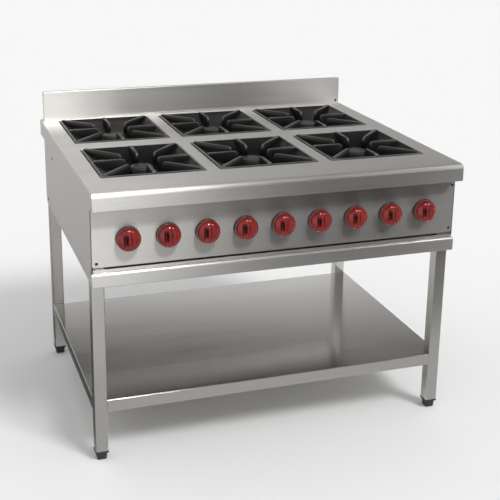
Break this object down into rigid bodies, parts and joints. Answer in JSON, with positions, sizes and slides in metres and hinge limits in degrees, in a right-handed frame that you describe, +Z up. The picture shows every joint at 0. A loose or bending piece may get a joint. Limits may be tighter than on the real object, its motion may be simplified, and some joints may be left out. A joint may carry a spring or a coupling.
{
  "type": "commercial gas range",
  "caption": "Open-stand commercial gas range: lift-off cast grates over burners, turning knobs, pull-out drip tray, undershelf, backsplash and screw feet.",
  "frame": {"origin": "on the floor, below the middle of the worktop's outline", "axes": "+Z up; +X to the right along the control panel; the controls face -Y and the backsplash is at +Y"},
  "size_m": [1.2, 1, 0.995],
  "materials": {
    "brushed_steel": "brushed",
    "cast_iron": "matt enamelled casting",
    "burner_cap": "heat-greyed casting",
    "red_plastic": "glossy",
    "black_plastic": "moulded",
    "brass": "machined",
    "pipe": "satin"
  },
  "bodies": {
    "range_body": {"worktop": "brushed_steel", "backsplash": "brushed_steel", "left_side_panel": "brushed_steel", "right_side_panel": "brushed_steel", "back_panel": "brushed_steel", "control_panel": "brushed_steel", "front_rail": "brushed_steel", "undershelf": "brushed_steel", "left_tray_runner": "brushed_steel", "right_tray_runner": "brushed_steel", "front_burner_support": "brushed_steel", "rear_burner_support": "brushed_steel", "gas_manifold": "pipe", "gas_inlet": "pipe", "leg_front_left": "brushed_steel", "leg_front_right": "brushed_steel", "leg_rear_left": "brushed_steel", "leg_rear_right": "brushed_steel", "burner_mixer_front_left": "cast_iron", "burner_mixer_front_middle": "cast_iron", "burner_mixer_front_right": "cast_iron", "burner_mixer_rear_left": "cast_iron", "burner_mixer_rear_middle": "cast_iron", "burner_mixer_rear_right": "cast_iron", "gas_valve_front_left": "brass", "gas_valve_front_middle": "brass", "gas_valve_front_right": "brass", "gas_valve_rear_left": "brass", "gas_valve_rear_middle": "brass", "gas_valve_rear_right": "brass", "pilot_burner_left": "brass", "pilot_burner_middle": "brass", "pilot_burner_right": "brass"},
    "knob_1": {"knob_1": "red_plastic"},
    "knob_2": {"knob_2": "red_plastic"},
    "knob_3": {"knob_3": "red_plastic"},
    "knob_4": {"knob_4": "red_plastic"},
    "knob_5": {"knob_5": "red_plastic"},
    "knob_6": {"knob_6": "red_plastic"},
    "knob_7": {"knob_7": "red_plastic"},
    "knob_8": {"knob_8": "red_plastic"},
    "knob_9": {"knob_9": "red_plastic"},
    "grate_front_left": {"grate_front_left": "cast_iron"},
    "burner_head_front_left": {"burner_head_front_left": "burner_cap"},
    "grate_front_middle": {"grate_front_middle": "cast_iron"},
    "burner_head_front_middle": {"burner_head_front_middle": "burner_cap"},
    "grate_front_right": {"grate_front_right": "cast_iron"},
    "burner_head_front_right": {"burner_head_front_right": "burner_cap"},
    "grate_rear_left": {"grate_rear_left": "cast_iron"},
    "burner_head_rear_left": {"burner_head_rear_left": "burner_cap"},
    "grate_rear_middle": {"grate_rear_middle": "cast_iron"},
    "burner_head_rear_middle": {"burner_head_rear_middle": "burner_cap"},
    "grate_rear_right": {"grate_rear_right": "cast_iron"},
    "burner_head_rear_right": {"burner_head_rear_right": "burner_cap"},
    "drip_tray": {"drip_tray": "brushed_steel"},
    "foot_front_left": {"foot_front_left": "black_plastic"},
    "foot_front_right": {"foot_front_right": "black_plastic"},
    "foot_rear_left": {"foot_rear_left": "black_plastic"},
    "foot_rear_right": {"foot_rear_right": "black_plastic"}
  },
  "joints": [
    {"name": "knob_1_turn", "type": "hinge", "parent": "range_body", "child": "knob_1", "pos_m": [-0.4868, -0.455, 0.735], "axis": [0, -1, 0], "range_deg": [0, 90]},
    {"name": "knob_2_turn", "type": "hinge", "parent": "range_body", "child": "knob_2", "pos_m": [-0.3651, -0.455, 0.735], "axis": [0, -1, 0], "range_deg": [0, 90]},
    {"name": "knob_3_turn", "type": "hinge", "parent": "range_body", "child": "knob_3", "pos_m": [-0.2434, -0.455, 0.735], "axis": [0, -1, 0], "range_deg": [0, 90]},
    {"name": "knob_4_turn", "type": "hinge", "parent": "range_body", "child": "knob_4", "pos_m": [-0.1217, -0.455, 0.735], "axis": [0, -1, 0], "range_deg": [0, 90]},
    {"name": "knob_5_turn", "type": "hinge", "parent": "range_body", "child": "knob_5", "pos_m": [0, -0.455, 0.735], "axis": [0, -1, 0], "range_deg": [0, 90]},
    {"name": "knob_6_turn", "type": "hinge", "parent": "range_body", "child": "knob_6", "pos_m": [0.1217, -0.455, 0.735], "axis": [0, -1, 0], "range_deg": [0, 90]},
    {"name": "knob_7_turn", "type": "hinge", "parent": "range_body", "child": "knob_7", "pos_m": [0.2434, -0.455, 0.735], "axis": [0, -1, 0], "range_deg": [0, 90]},
    {"name": "knob_8_turn", "type": "hinge", "parent": "range_body", "child": "knob_8", "pos_m": [0.3651, -0.455, 0.735], "axis": [0, -1, 0], "range_deg": [0, 90]},
    {"name": "knob_9_turn", "type": "hinge", "parent": "range_body", "child": "knob_9", "pos_m": [0.4868, -0.455, 0.735], "axis": [0, -1, 0], "range_deg": [0, 90]},
    {"name": "grate_front_left_lift", "type": "slide", "parent": "range_body", "child": "grate_front_left", "axis": [0, 0, 1], "range_m": [0, 0.12]},
    {"name": "grate_front_middle_lift", "type": "slide", "parent": "range_body", "child": "grate_front_middle", "axis": [0, 0, 1], "range_m": [0, 0.12]},
    {"name": "grate_front_right_lift", "type": "slide", "parent": "range_body", "child": "grate_front_right", "axis": [0, 0, 1], "range_m": [0, 0.12]},
    {"name": "grate_rear_left_lift", "type": "slide", "parent": "range_body", "child": "grate_rear_left", "axis": [0, 0, 1], "range_m": [0, 0.12]},
    {"name": "grate_rear_middle_lift", "type": "slide", "parent": "range_body", "child": "grate_rear_middle", "axis": [0, 0, 1], "range_m": [0, 0.12]},
    {"name": "grate_rear_right_lift", "type": "slide", "parent": "range_body", "child": "grate_rear_right", "axis": [0, 0, 1], "range_m": [0, 0.12]},
    {"name": "burner_head_front_left_lift", "type": "slide", "parent": "range_body", "child": "burner_head_front_left", "axis": [0, 0, 1], "range_m": [0, 0.08]},
    {"name": "burner_head_front_middle_lift", "type": "slide", "parent": "range_body", "child": "burner_head_front_middle", "axis": [0, 0, 1], "range_m": [0, 0.08]},
    {"name": "burner_head_front_right_lift", "type": "slide", "parent": "range_body", "child": "burner_head_front_right", "axis": [0, 0, 1], "range_m": [0, 0.08]},
    {"name": "burner_head_rear_left_lift", "type": "slide", "parent": "range_body", "child": "burner_head_rear_left", "axis": [0, 0, 1], "range_m": [0, 0.08]},
    {"name": "burner_head_rear_middle_lift", "type": "slide", "parent": "range_body", "child": "burner_head_rear_middle", "axis": [0, 0, 1], "range_m": [0, 0.08]},
    {"name": "burner_head_rear_right_lift", "type": "slide", "parent": "range_body", "child": "burner_head_rear_right", "axis": [0, 0, 1], "range_m": [0, 0.08]},
    {"name": "drip_tray_slide", "type": "slide", "parent": "range_body", "child": "drip_tray", "axis": [0, -1, 0], "range_m": [0, 0.6]},
    {"name": "foot_front_left_screw", "type": "slide", "parent": "range_body", "child": "foot_front_left", "axis": [0, 0, 1], "range_m": [-0.02, 0]},
    {"name": "foot_front_right_screw", "type": "slide", "parent": "range_body", "child": "foot_front_right", "axis": [0, 0, 1], "range_m": [-0.02, 0]},
    {"name": "foot_rear_left_screw", "type": "slide", "parent": "range_body", "child": "foot_rear_left", "axis": [0, 0, 1], "range_m": [-0.02, 0]},
    {"name": "foot_rear_right_screw", "type": "slide", "parent": "range_body", "child": "foot_rear_right", "axis": [0, 0, 1], "range_m": [-0.02, 0]}
  ]
}
